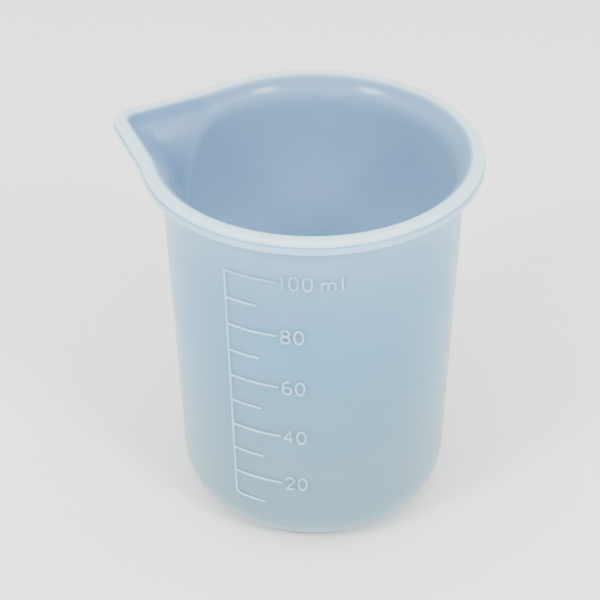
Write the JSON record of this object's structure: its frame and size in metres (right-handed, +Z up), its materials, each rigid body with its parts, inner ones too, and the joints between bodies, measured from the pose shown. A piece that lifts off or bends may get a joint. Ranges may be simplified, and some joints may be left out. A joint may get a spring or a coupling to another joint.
{
  "type": "silicone pouring and measuring cup",
  "caption": "Translucent silicone resin-mixing cup with tapered wall, rounded base, flanged rim, one pouring spout and a raised ml scale.",
  "frame": {"origin": "on the cup's axis, at the underside of the base", "axes": "+Z up along the cup's axis, the spout points along -X, the raised scale faces -Y"},
  "size_m": [0.0666, 0.059, 0.0715],
  "materials": {
    "silicone": "satin translucent silicone rubber, milky pale blue",
    "silicone_scale": "the same silicone, in thin raised lines and numerals"
  },
  "bodies": {
    "root": {"base_disc": "silicone", "base_corner": "silicone", "cup_wall": "silicone", "rim_flange": "silicone", "spout_channel": "silicone", "spout_lip": "silicone", "scale_stem": "silicone_scale", "mark_10ml": "silicone_scale", "mark_20ml": "silicone_scale", "mark_30ml": "silicone_scale", "mark_40ml": "silicone_scale", "mark_50ml": "silicone_scale", "mark_60ml": "silicone_scale", "mark_70ml": "silicone_scale", "mark_80ml": "silicone_scale", "mark_90ml": "silicone_scale", "mark_100ml": "silicone_scale", "numeral_20": "silicone_scale", "numeral_40": "silicone_scale", "numeral_60": "silicone_scale", "numeral_80": "silicone_scale", "numeral_100": "silicone_scale", "unit_ml": "silicone_scale"}
  },
  "joints": []
}
